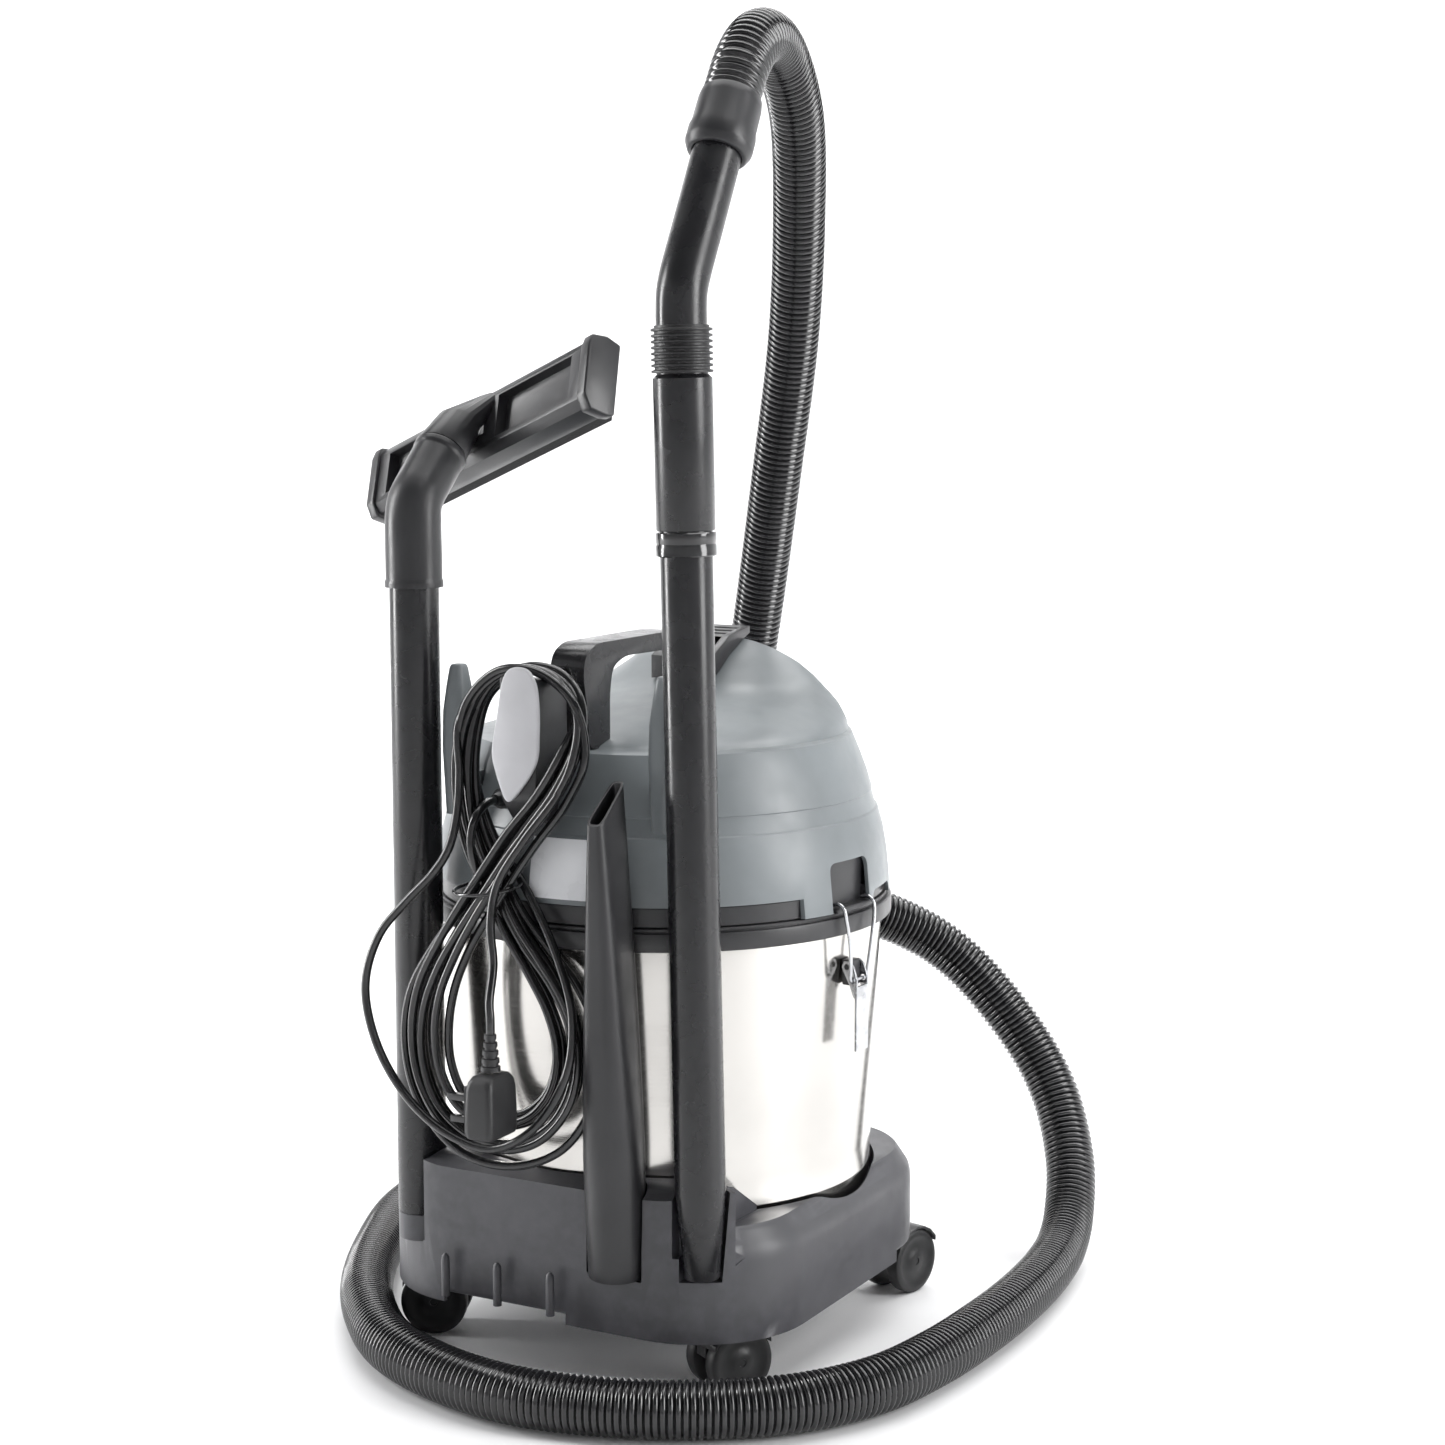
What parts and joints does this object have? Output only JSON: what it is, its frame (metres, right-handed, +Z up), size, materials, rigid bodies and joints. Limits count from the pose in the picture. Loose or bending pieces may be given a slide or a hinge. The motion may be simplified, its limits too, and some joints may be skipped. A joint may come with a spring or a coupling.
{
  "type": "shop vacuum",
  "caption": "Wet and dry shop vacuum: steel drum on a castered chassis, domed motor head with toggle latches, stowed hose, wands, floor nozzle, crevice tool and mains cord.",
  "frame": {"origin": "on the floor, under the middle of the bounding box of everything but the hose and mains cord", "axes": "+Z up; -Y is the back, where the wands, crevice tool and cord are stowed; +Y is the front, with the inlet and switch; +X is the side of the wand that carries the hose"},
  "size_m": [0.6391, 0.671, 1.0471],
  "materials": {
    "matte_black": "fine textured black moulding",
    "gloss_black": "polished black moulding",
    "chassis_grey": "dark grey textured moulding",
    "cover_grey": "blue-grey satin moulding",
    "steel": "bright rolled stainless sheet",
    "chrome": "bright zinc-plated steel",
    "hose": "corrugated black vinyl",
    "cord": "satin black cord sheath",
    "rubber": "dark moulded rubber",
    "bristle": "dense black bristle",
    "paper": "pleated filter paper",
    "label": "blank satin silver plate",
    "float": "off-white moulding",
    "motor": "laminated motor body"
  },
  "bodies": {
    "machine": {"chassis": "chassis_grey", "drum": "steel", "drum_rim": "matte_black", "head_seal": "rubber", "motor_base": "matte_black", "head_cover": "cover_grey", "rating_plate": "label", "exhaust_grille": "matte_black", "carry_handle": "matte_black", "cable_hook": "matte_black", "cord_gland": "rubber", "fan_housing": "matte_black", "motor": "motor", "float_cage": "matte_black", "filter_cartridge": "paper", "filter_seal": "rubber", "filter_cap": "rubber", "right_wand": "matte_black", "wand_ring": "gloss_black", "handle_tube": "matte_black", "ribbed_collar": "rubber", "hose_cuff": "matte_black", "inlet_port": "matte_black", "hose_connector": "matte_black", "hose": "hose", "cord_hank": "cord", "cord_loop": "cord", "cord_tail": "cord", "plug": "rubber", "latch_base_right": "matte_black", "latch_base_left": "matte_black"},
    "caster_front_right": {"caster_fork_front_right": "matte_black"},
    "wheels_front_right": {"caster_wheel_front_right": "rubber"},
    "caster_front_left": {"caster_fork_front_left": "matte_black"},
    "wheels_front_left": {"caster_wheel_front_left": "rubber"},
    "caster_rear_right": {"caster_fork_rear_right": "matte_black"},
    "wheels_rear_right": {"caster_wheel_rear_right": "rubber"},
    "caster_rear_left": {"caster_fork_rear_left": "matte_black"},
    "wheels_rear_left": {"caster_wheel_rear_left": "rubber"},
    "latch_lever_right": {"latch_lever_right": "chrome"},
    "latch_bail_right": {"latch_bail_right": "chrome"},
    "latch_lever_left": {"latch_lever_left": "chrome"},
    "latch_bail_left": {"latch_bail_left": "chrome"},
    "switch": {"switch_knob": "matte_black"},
    "float_ball": {"float_ball": "float"},
    "fan": {"motor_shaft": "steel", "impeller": "steel"},
    "crevice_tool": {"crevice_tool": "matte_black"},
    "left_wand": {"left_wand": "matte_black", "nozzle_elbow": "matte_black"},
    "floor_nozzle": {"nozzle_body": "matte_black", "nozzle_end_cap_right": "gloss_black", "nozzle_end_cap_left": "gloss_black", "nozzle_bristles_front": "bristle", "nozzle_bristles_back": "bristle"},
    "nozzle_roller_right": {"nozzle_roller_right": "rubber"},
    "nozzle_roller_left": {"nozzle_roller_left": "rubber"}
  },
  "joints": [
    {"name": "caster_front_right_swivel", "type": "hinge", "parent": "machine", "child": "caster_front_right", "pos_m": [0.16982, 0.1484, 0.06], "axis": [0, 0, 1], "continuous": true},
    {"name": "wheels_front_right_spin", "type": "hinge", "parent": "caster_front_right", "child": "wheels_front_right", "pos_m": [0.17387, 0.16594, 0.027], "axis": [-0.9744, 0.225, 0], "continuous": true},
    {"name": "caster_front_left_swivel", "type": "hinge", "parent": "machine", "child": "caster_front_left", "pos_m": [-0.10418, 0.1484, 0.06], "axis": [0, 0, 1], "continuous": true},
    {"name": "wheels_front_left_spin", "type": "hinge", "parent": "caster_front_left", "child": "wheels_front_left", "pos_m": [-0.09803, 0.16532, 0.027], "axis": [-0.9397, 0.342, 0], "continuous": true},
    {"name": "caster_rear_right_swivel", "type": "hinge", "parent": "machine", "child": "caster_rear_right", "pos_m": [0.16782, -0.0986, 0.06], "axis": [0, 0, 1], "continuous": true},
    {"name": "wheels_rear_right_spin", "type": "hinge", "parent": "caster_rear_right", "child": "wheels_rear_right", "pos_m": [0.16082, -0.11072, 0.027], "axis": [0.866, -0.5, 0], "continuous": true},
    {"name": "caster_rear_left_swivel", "type": "hinge", "parent": "machine", "child": "caster_rear_left", "pos_m": [-0.10218, -0.0966, 0.06], "axis": [0, 0, 1], "continuous": true},
    {"name": "wheels_rear_left_spin", "type": "hinge", "parent": "caster_rear_left", "child": "wheels_rear_left", "pos_m": [-0.11487, -0.10251, 0.027], "axis": [0.4226, -0.9063, 0], "continuous": true},
    {"name": "latch_lever_right_hinge", "type": "hinge", "parent": "machine", "child": "latch_lever_right", "pos_m": [0.21415, -0.00826, 0.318], "axis": [-0.1132, -0.9936, 0], "range_deg": [0, 100]},
    {"name": "latch_bail_right_hinge", "type": "hinge", "parent": "latch_lever_right", "child": "latch_bail_right", "pos_m": [0.21961, -0.00888, 0.308], "axis": [-0.1132, -0.9936, 0], "range_deg": [-116, 1]},
    {"name": "latch_lever_left_hinge", "type": "hinge", "parent": "machine", "child": "latch_lever_left", "pos_m": [-0.14851, -0.00826, 0.318], "axis": [-0.1132, 0.9936, 0], "range_deg": [0, 100]},
    {"name": "latch_bail_left_hinge", "type": "hinge", "parent": "latch_lever_left", "child": "latch_bail_left", "pos_m": [-0.15397, -0.00888, 0.308], "axis": [-0.1132, 0.9936, 0], "range_deg": [-116, 1]},
    {"name": "switch_turn", "type": "hinge", "parent": "machine", "child": "switch", "pos_m": [0.03282, 0.1924, 0.44], "axis": [0, 1, 0], "range_deg": [0, 90]},
    {"name": "float_rise", "type": "slide", "parent": "machine", "child": "float_ball", "axis": [0, 0, 1], "range_m": [0, 0.036]},
    {"name": "fan_spin", "type": "hinge", "parent": "machine", "child": "fan", "pos_m": [0.03282, 0.0124, 0.4], "axis": [0, 0, 1], "continuous": true},
    {"name": "crevice_lift_out", "type": "slide", "parent": "machine", "child": "crevice_tool", "axis": [0.0186, -0.0637, 0.9978], "range_m": [0, 0.09]},
    {"name": "left_wand_lift_out", "type": "slide", "parent": "machine", "child": "left_wand", "axis": [0, 0, 1], "range_m": [0, 0.1]},
    {"name": "nozzle_swivel", "type": "hinge", "parent": "left_wand", "child": "floor_nozzle", "pos_m": [-0.09218, -0.11471, 0.71389], "axis": [0, 0.7071, 0.7071], "range_deg": [-60, 60]},
    {"name": "nozzle_roller_right_spin", "type": "hinge", "parent": "floor_nozzle", "child": "nozzle_roller_right", "pos_m": [0.03978, -0.0954, 0.7612], "axis": [0.8957, -0.3144, 0.3144], "continuous": true},
    {"name": "nozzle_roller_left_spin", "type": "hinge", "parent": "floor_nozzle", "child": "nozzle_roller_left", "pos_m": [-0.18773, -0.01554, 0.68134], "axis": [0.8957, -0.3144, 0.3144], "continuous": true}
  ],
  "couplings": [
    {"joint": "latch_bail_right_hinge", "follows": "latch_lever_right_hinge", "ratio": -1.15},
    {"joint": "latch_bail_left_hinge", "follows": "latch_lever_left_hinge", "ratio": -1.15}
  ]
}
